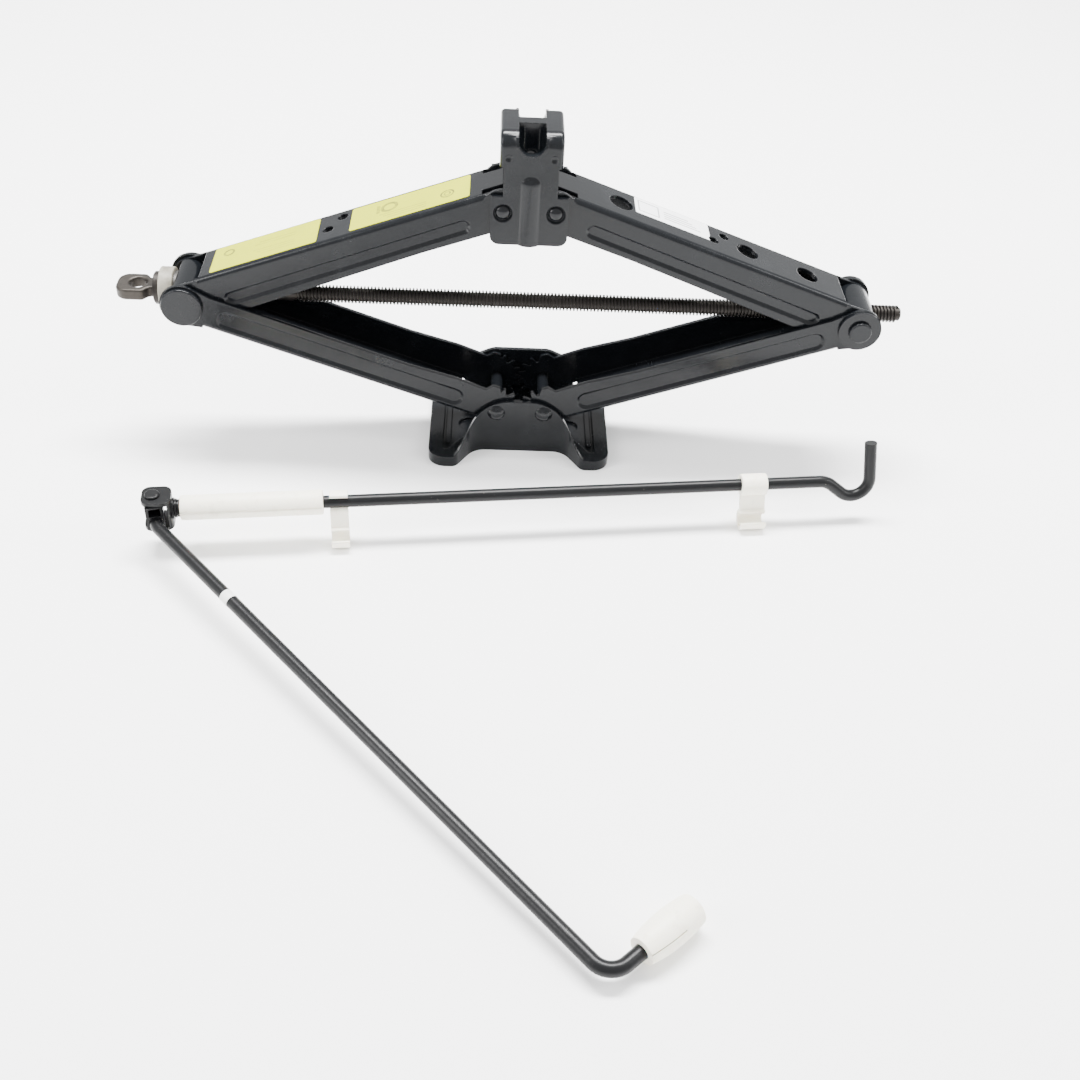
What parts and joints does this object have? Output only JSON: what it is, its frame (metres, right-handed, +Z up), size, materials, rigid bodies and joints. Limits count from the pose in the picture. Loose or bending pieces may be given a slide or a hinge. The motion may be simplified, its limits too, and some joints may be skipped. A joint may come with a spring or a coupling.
{
  "type": "scissor car jack",
  "caption": "Low scissor jack with pressed steel arms, a geared base and saddle and a lead screw, with its folding hook-ended crank handle laid in front.",
  "frame": {"origin": "on the ground under the middle of the base plate", "axes": "+X along the lead screw towards the nut end, +Y to the rear, away from the handle, +Z up"},
  "size_m": [0.4527, 0.4183, 0.202],
  "materials": {
    "black_enamel": "gloss black baked enamel over pressed steel",
    "rivet_enamel": "gloss black enamel over formed rivet heads, worn thin on the crowns",
    "rod_enamel": "semi-gloss black enamel on round steel rod",
    "screw_steel": "oiled dark grey-brown rolled steel",
    "dark_washer_steel": "dark oiled steel",
    "ring_plastic": "cream bearing plastic, slightly waxy",
    "yellow_film": "pale fluorescent yellow label film",
    "white_film": "white label film",
    "ivory_plastic": "ivory moulded plastic with a fine satin grain",
    "ivory_sleeve": "off-white plastic tube, dull, lightly scuffed"
  },
  "bodies": {
    "base": {"base_plate": "black_enamel", "base_pivot_rivets": "rivet_enamel"},
    "lower_left": {"lower_left_arm": "black_enamel"},
    "lower_right": {"lower_right_arm": "black_enamel"},
    "upper_left": {"upper_left_arm": "black_enamel", "outer_yellow_label": "yellow_film", "inner_yellow_label": "yellow_film"},
    "upper_right": {"upper_right_arm": "black_enamel", "white_label": "white_film"},
    "saddle_head": {"saddle": "black_enamel", "saddle_pivot_rivets": "rivet_enamel"},
    "thrust_end": {"left_trunnion": "black_enamel", "trunnion_caps": "rivet_enamel", "thrust_washer": "dark_washer_steel", "thrust_ring": "ring_plastic"},
    "nut_end": {"nut_trunnion": "rivet_enamel", "nut_washers": "rivet_enamel"},
    "screw": {"lead_screw": "screw_steel", "screw_retaining_ring": "dark_washer_steel"},
    "handle": {"hook_rod": "rod_enamel", "hook_clevis": "rod_enamel", "hinge_pin": "rod_enamel", "sleeve_end_clip": "ivory_plastic", "hook_end_clip": "ivory_plastic"},
    "sleeve": {"rod_sleeve": "ivory_sleeve"},
    "crank": {"crank_rod": "rod_enamel", "crank_swivel": "rod_enamel", "crank_sticker": "white_film"},
    "grip": {"crank_grip": "ivory_plastic"}
  },
  "joints": [
    {"name": "lower_left_pivot", "type": "hinge", "parent": "base", "child": "lower_left", "pos_m": [-0.01425, 0, 0.028], "axis": [0, 1, 0], "range_deg": [-13.5, 42]},
    {"name": "lower_right_pivot", "type": "hinge", "parent": "base", "child": "lower_right", "pos_m": [0.01425, 0, 0.028], "axis": [0, 1, 0], "range_deg": [-42, 13.5]},
    {"name": "thrust_end_turn", "type": "hinge", "parent": "lower_left", "child": "thrust_end", "pos_m": [-0.19279, 0, 0.09298], "axis": [0, 1, 0], "range_deg": [-42, 13.5]},
    {"name": "nut_end_turn", "type": "hinge", "parent": "lower_right", "child": "nut_end", "pos_m": [0.19279, 0, 0.09298], "axis": [0, 1, 0], "range_deg": [-13.5, 42]},
    {"name": "upper_left_pivot", "type": "hinge", "parent": "lower_left", "child": "upper_left", "pos_m": [-0.19279, 0, 0.09298], "axis": [0, 1, 0], "range_deg": [-84, 27]},
    {"name": "upper_right_pivot", "type": "hinge", "parent": "lower_right", "child": "upper_right", "pos_m": [0.19279, 0, 0.09298], "axis": [0, 1, 0], "range_deg": [-27, 84]},
    {"name": "saddle_level", "type": "hinge", "parent": "upper_left", "child": "saddle_head", "pos_m": [-0.01425, 0, 0.15797], "axis": [0, 1, 0], "range_deg": [-13.5, 42]},
    {"name": "screw_turn", "type": "hinge", "parent": "thrust_end", "child": "screw", "pos_m": [-0.202, 0, 0.09298], "axis": [1, 0, 0], "continuous": true},
    {"name": "handle_lift", "type": "slide", "parent": "base", "child": "handle", "axis": [0, 0, 1], "range_m": [0, 0.3]},
    {"name": "sleeve_turn", "type": "hinge", "parent": "handle", "child": "sleeve", "pos_m": [-0.14641, -0.10949, 0.025], "axis": [0.994, 0.1097, 0], "continuous": true},
    {"name": "crank_fold", "type": "hinge", "parent": "handle", "child": "crank", "pos_m": [-0.1981, -0.1152, 0.025], "axis": [0, 0, 1], "range_deg": [-126, 12]},
    {"name": "grip_turn", "type": "hinge", "parent": "crank", "child": "grip", "pos_m": [0.03649, -0.37954, 0.00862], "axis": [0.7524, 0.6587, 0], "continuous": true}
  ],
  "couplings": [
    {"joint": "lower_right_pivot", "follows": "lower_left_pivot", "ratio": -1},
    {"joint": "thrust_end_turn", "follows": "lower_left_pivot", "ratio": -1},
    {"joint": "nut_end_turn", "follows": "lower_left_pivot", "ratio": 1},
    {"joint": "upper_left_pivot", "follows": "lower_left_pivot", "ratio": -2},
    {"joint": "upper_right_pivot", "follows": "lower_left_pivot", "ratio": 2},
    {"joint": "saddle_level", "follows": "lower_left_pivot", "ratio": 1}
  ]
}
